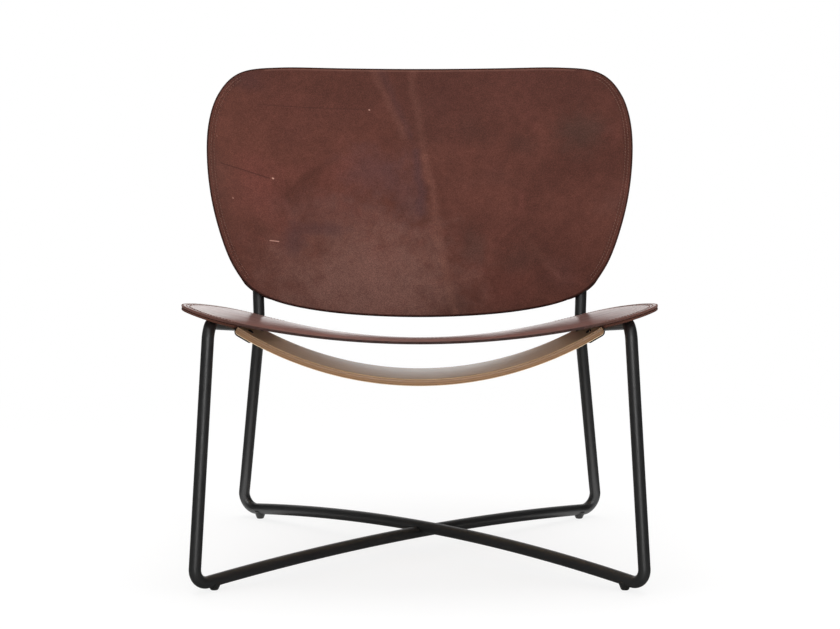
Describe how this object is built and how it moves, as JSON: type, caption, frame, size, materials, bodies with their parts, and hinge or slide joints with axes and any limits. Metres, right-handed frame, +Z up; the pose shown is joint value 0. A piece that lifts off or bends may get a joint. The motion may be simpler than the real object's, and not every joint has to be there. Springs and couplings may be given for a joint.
{
  "type": "sling lounge chair",
  "caption": "Low lounge chair: bent steel tubes that cross under the seat carry a sagging saddle leather seat and back, with a curved wooden bow between the side rails.",
  "frame": {"origin": "on the floor, under the middle of the chair's bounding box", "axes": "+Z up, -Y towards the front of the seat, +X to the right seen from the front"},
  "size_m": [0.7004, 0.628, 0.7479],
  "materials": {
    "black_steel": "satin black powder coat",
    "saddle_leather": "thick brown saddle leather with a waxed, slightly clouded face",
    "moulded_plywood": "matt pale wood",
    "black_plastic": "matt black"
  },
  "bodies": {
    "root": {"frame_tube_upper": "black_steel", "frame_tube_lower": "black_steel", "upright_plug_left": "black_plastic", "upright_plug_right": "black_plastic", "glide_rear_left": "black_plastic", "glide_front_right": "black_plastic", "glide_rear_right": "black_plastic", "glide_front_left": "black_plastic", "seat_sheet": "saddle_leather", "seat_doubler_left": "saddle_leather", "seat_keeper_left": "saddle_leather", "seat_doubler_right": "saddle_leather", "seat_keeper_right": "saddle_leather", "keeper_rivet_left_outer": "black_steel", "keeper_rivet_left_inner": "black_steel", "keeper_rivet_right_inner": "black_steel", "keeper_rivet_right_outer": "black_steel", "back_sheet": "saddle_leather", "back_pocket_left": "saddle_leather", "back_pocket_right": "saddle_leather", "seat_bow": "moulded_plywood", "bow_plate_left": "black_steel", "bow_plate_right": "black_steel", "bow_screw_left_front": "black_steel", "bow_screw_left_rear": "black_steel", "bow_screw_right_front": "black_steel", "bow_screw_right_rear": "black_steel"}
  },
  "joints": []
}
